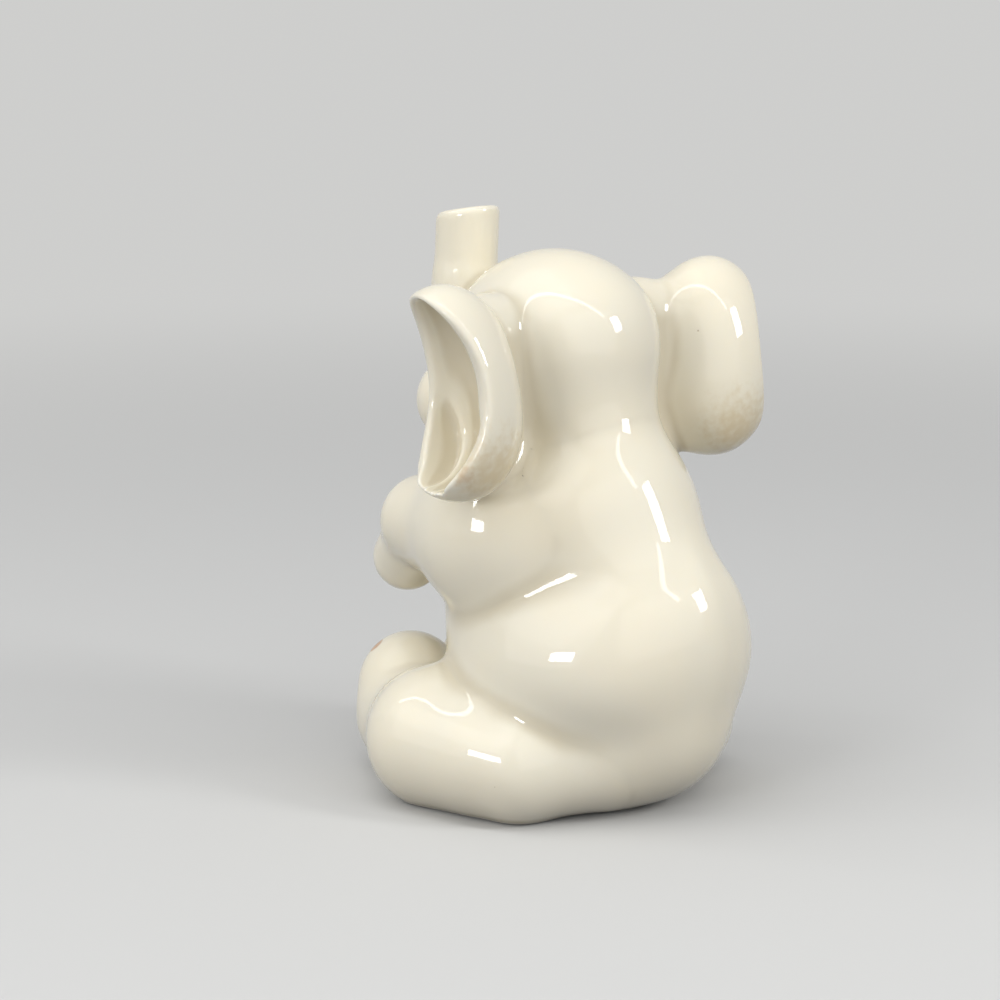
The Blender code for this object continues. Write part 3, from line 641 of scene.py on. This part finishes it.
def taken_from(clay_left, name, tool):
    """Cuts a piece out of the clay that is left."""
    piece = clay_left.copy()
    piece.data = clay_left.data.copy()
    piece.name = name
    bpy.context.scene.collection.objects.link(piece)
    cut(piece, tool, "INTERSECT")
    cut(clay_left, tool, "DIFFERENCE")
    return piece


def casting_of(form, name):
    """Cuts a form's own share out of the clay that is left."""
    tool = territory(form)
    casting = taken_from(rest, name, tool)
    bpy.data.objects.remove(tool)
    return casting


def glazed(piece, material, node):
    """Gives a casting the shading of the uncut clay, so that no seam shows, and its glaze."""
    clay = Clay(node + " glazing")
    inlet = clay.tree.interface.new_socket("Casting", in_out="INPUT", socket_type="NodeSocketGeometry")
    clay.tree.interface.move(inlet, 1)
    casting = next(out for out in clay.entry.outputs if out.identifier == inlet.identifier)
    source = clay.size("Clay original", original, "NodeSocketObject")
    whole = wire(clay.tree, "GeometryNodeObjectInfo", {"Object": source})

    def sampled(value, kind):
        inputs = {"Mesh": whole.outputs["Geometry"], "Value": value}
        return wire(clay.tree, "GeometryNodeSampleNearestSurface", inputs, data_type=kind).outputs[0]

    for name in ("pooling", "luting", "proud", "swell"):
        held = wire(clay.tree, "GeometryNodeInputNamedAttribute", {"Name": name}, data_type="FLOAT")
        casting = stored(clay, casting, name, sampled(held.outputs[0], "FLOAT"))
    smooth = wire(clay.tree, "GeometryNodeSetShadeSmooth", {"Geometry": casting, "Shade Smooth": True})
    inputs = {"Mesh": smooth.outputs[0]}
    turned = wire(clay.tree, "GeometryNodeSetMeshNormal", inputs, mode="FREE", domain="POINT")
    surface = wire(clay.tree, "GeometryNodeInputNormal").outputs[0]
    clay.tree.links.new(sampled(surface, "FLOAT_VECTOR"), turned.inputs["Custom Normal"])
    made_by(clay, turned.outputs[0], material, node + "_glazing", piece)
    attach(piece, "root")
    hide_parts(node)


glazed(casting_of("torso", "torso_casting"), glaze("torso_glaze"), "torso")


# Head
# A broad round skull on a straight neck, with full cheeks and a small chin. The eyes are low
# bosses that are touched in with brown underglaze colour before the glaze goes on.

EYE_SPOT = EYE + Vector((0.0014, -0.0010, 0.0002))
LID_SPOT = EYE + Vector((0.0012, -0.0006, 0.0018))

eyes = (UNDERGLAZE, 0.95, [(EYE_SPOT, (0.0030, 0.0028, 0.0024))])
lids = (WASH, 0.65, [(LID_SPOT, (0.0036, 0.0056, 0.0008))])
glazed(casting_of("head", "head_casting"), glaze("head_glaze", (lids, eyes)), "head")


# Trunk
# A short tapering tube luted to the face below the brow and raised straight up in front of it.
# Its slanted tip is open, and the glaze has run into the opening.

glazed(casting_of("trunk", "trunk_casting"), glaze("trunk_glaze"), "trunk")


# Ears
# Two cupped shells that open outwards, each on a thick root along the side of the head. Soft
# folds fan out on the inside, and the rim is rounded where the mould's edge was sponged away.

# Centre of the warm tint on the lower half of each ear: pooled glaze, and painted shade where it faces down
# away from the light.
EAR_RUN_AND_SHADE = EAR + Vector((-0.0020, 0.0085, -0.0125))
EAR_SCORCH = EAR + Vector((0.0052, 0.0072, -0.0118))
RUN_GLAZE_AND_SHADE = (0.640, 0.510, 0.290, 1.0)


def glazed_pair(pair, name, *marks):
    """Parts two like castings along the middle plane and glazes each of them."""
    for side, way in (("left", 1), ("right", -1)):
        half = half_space(side + "_side", way)
        piece = taken_from(pair, side + "_" + name + "_casting", half)
        bpy.data.objects.remove(half)
        glazed(piece, glaze(side + "_" + name + "_glaze", marks), side + "_" + name)
    bpy.data.objects.remove(pair)


# The lower half of each ear is tinted warm brown: glaze pooled there, and painted shade where it faces down
# away from the light.
run_and_shade = (RUN_GLAZE_AND_SHADE, 0.68, [(EAR_RUN_AND_SHADE, (0.0320, 0.0120, 0.0200), 0.9)])
scorched = (WASH, 0.35, [(EAR_SCORCH, (0.0056, 0.0052, 0.0080), 0.8)])
glazed_pair(casting_of("ear", "both_ears"), "ear", run_and_shade, scorched)


# Forelegs
# Thick at the shoulder and bent down at the wrist into small round feet, held out in front of
# the chest. Three toenails on each are dabbed on with thin brown colour.

FORE_NAIL = 0.0024
FORE_NAILS_OUT = (-0.05, -0.90, -0.35)
FORE_NAILS_SPREAD = 0.62
NAIL_SOFTNESS = 0.35


def nails(centre, radius, out, spread, size):
    """Places of three toenails on a round foot, to the left, in the middle and to the right."""
    across = Vector((1.0, 0.0, 0.0))
    for share in (-1.0, 0.0, 1.0):
        way = (Vector(out).normalized() + across * spread * share).normalized()
        yield centre + way * radius, (size, size, size), NAIL_SOFTNESS


toes = list(nails(FOREFOOT, FOREFOOT_RADIUS, FORE_NAILS_OUT, FORE_NAILS_SPREAD, FORE_NAIL))
glazed_pair(casting_of("foreleg", "both_forelegs"), "foreleg", (WASH, 0.55, toes))


# Hind legs
# They lie along the ground on both sides of the seat, bent at the knee, with the feet turned up.
# Their undersides are flat and unglazed like the foot, and the toenails are dabbed with brown.

HIND_NAIL = 0.0032
HIND_NAILS_OUT = (0.0, -0.50, 0.80)
HIND_NAILS_SPREAD = 0.58

toes = list(nails(TOES, TOES_RADIUS, HIND_NAILS_OUT, HIND_NAILS_SPREAD, HIND_NAIL))
glazed_pair(rest, "hind_leg", (WASH, 0.80, toes))
bpy.data.objects.remove(original)


# Table, lamps and camera
# A plain pale table that runs out of sight, soft lamps of a photographer's table, and the camera
# where the photographer held it, behind the calf's left side.

PIXELS = 1000
PIXELS_PER_METRE = 6530
AXIS_PIXEL = Vector((597, 797))
AZIMUTH = math.radians(135)
ELEVATION = math.radians(11)
DISTANCE = 0.400
MIDDLE = Vector((0.0, 0.0, 0.042))
TABLE = (0.60, 0.60, 0.59, 1.0)
HAZE = (0.62, 0.62, 0.61, 1.0)
SHADE = (0.16, 0.16, 0.17, 1.0)
TABLE_RADIUS = 4.0
TABLE_ROUGHNESS = 0.9
HAZE_FROM, HAZE_TO = 0.12, 0.70
WALLS = (0.97, 0.98, 1.0, 1.0)
WALLS_STRENGTH = 0.42
SENSOR = 36.0


def towards(azimuth, elevation):
    """The direction from the calf to something round it, with azimuth 0 in front of its face."""
    level = math.cos(elevation)
    return Vector((math.sin(azimuth) * level, -math.cos(azimuth) * level, math.sin(elevation)))


def aimed(thing, place, at):
    bpy.context.scene.collection.objects.link(thing)
    thing.location = place
    thing.rotation_mode = "QUATERNION"
    thing.rotation_quaternion = (at - place).to_track_quat("-Z", "Y")
    return thing


def softbox(name, azimuth, elevation, reach, width, height, watts):
    lamp = bpy.data.lights.new(name, "AREA")
    lamp.shape = "RECTANGLE"
    lamp.size = width
    lamp.size_y = height
    lamp.energy = watts
    place = MIDDLE + towards(math.radians(azimuth), math.radians(elevation)) * reach
    return aimed(bpy.data.objects.new(name, lamp), place, MIDDLE)


def backdrop_rays(tree):
    """1 for the rays that show the table and the room, and 0 for those that light the calf."""
    paths = wire(tree, "ShaderNodeLightPath").outputs
    seen = paths["Is Camera Ray"]
    for kind in ("Is Glossy Ray", "Is Transmission Ray"):
        seen = wire(tree, "ShaderNodeMath", (seen, paths[kind]), operation="MAXIMUM").outputs[0]
    return seen


bm = bmesh.new()
bmesh.ops.create_circle(bm, cap_ends=True, segments=96, radius=TABLE_RADIUS)
table = bpy.data.objects.new("table", bpy.data.meshes.new("table"))
bm.to_mesh(table.data)
bm.free()
bpy.context.scene.collection.objects.link(table)
top = Finish("pale_table")
reach = wire(top.tree, "ShaderNodeVectorMath", (top.place,), operation="LENGTH").outputs["Value"]
far_off = top.ramp(reach, HAZE_FROM, HAZE_TO)
seen = backdrop_rays(top.tree)
lit = top.mixed(top.ramp(top.noise(0.02), 0.3, 0.7, 0.0, 0.04), TABLE, HAZE)
top.tree.links.new(top.mixed(seen, SHADE, lit), top.shader.inputs["Base Color"])
top.shader.inputs["Roughness"].default_value = TABLE_ROUGHNESS
haze = wire(top.tree, "ShaderNodeEmission", {"Color": HAZE, "Strength": 1.0}).outputs[0]
hidden = top.number("MULTIPLY", far_off, seen)
blend = wire(top.tree, "ShaderNodeMixShader", (hidden, top.shader.outputs[0], haze))
top.tree.links.new(blend.outputs[0], top.tree.nodes["Material Output"].inputs["Surface"])
table.data.materials.append(top.material)

room = bpy.data.worlds.new("room")
room.use_nodes = True
bpy.context.scene.world = room
walls = room.node_tree.nodes["Background"]
walls.inputs["Color"].default_value = WALLS
walls.inputs["Strength"].default_value = WALLS_STRENGTH
backdrop = wire(room.node_tree, "ShaderNodeBackground", {"Color": HAZE, "Strength": 1.0})
seen = backdrop_rays(room.node_tree)
chosen = wire(room.node_tree, "ShaderNodeMixShader", (seen, walls.outputs[0], backdrop.outputs[0]))
room.node_tree.links.new(chosen.outputs[0], room.node_tree.nodes["World Output"].inputs["Surface"])

softbox("ceiling_panel", azimuth=65, elevation=58, reach=0.80, width=1.10, height=1.10, watts=2.35)
softbox("ceiling_tube", azimuth=110, elevation=74, reach=0.60, width=1.50, height=0.05, watts=1.1)
softbox("left_wall", azimuth=82, elevation=26, reach=0.90, width=1.00, height=0.80, watts=1.8)
softbox("rear_wall", azimuth=165, elevation=24, reach=1.00, width=1.20, height=0.90, watts=2.2)
softbox("right_window", azimuth=202, elevation=28, reach=0.55, width=0.11, height=0.16, watts=0.95)
softbox("left_window", azimuth=99, elevation=12, reach=0.55, width=0.15, height=0.08, watts=0.62)

view = bpy.data.cameras.new("photograph")
view.sensor_width = SENSOR
view.lens = PIXELS_PER_METRE * DISTANCE * SENSOR / PIXELS
back = towards(AZIMUTH, ELEVATION)
rightwards = Vector((math.cos(AZIMUTH), math.sin(AZIMUTH), 0.0))
across = (PIXELS / 2 - AXIS_PIXEL.x) / PIXELS_PER_METRE
upwards = (AXIS_PIXEL.y - PIXELS / 2) / PIXELS_PER_METRE / math.cos(ELEVATION)
target = rightwards * across + Vector((0.0, 0.0, upwards))
camera = aimed(bpy.data.objects.new("photograph", view), target + back * DISTANCE, target)
bpy.context.scene.camera = camera
bpy.context.scene.view_settings.view_transform = "Standard"
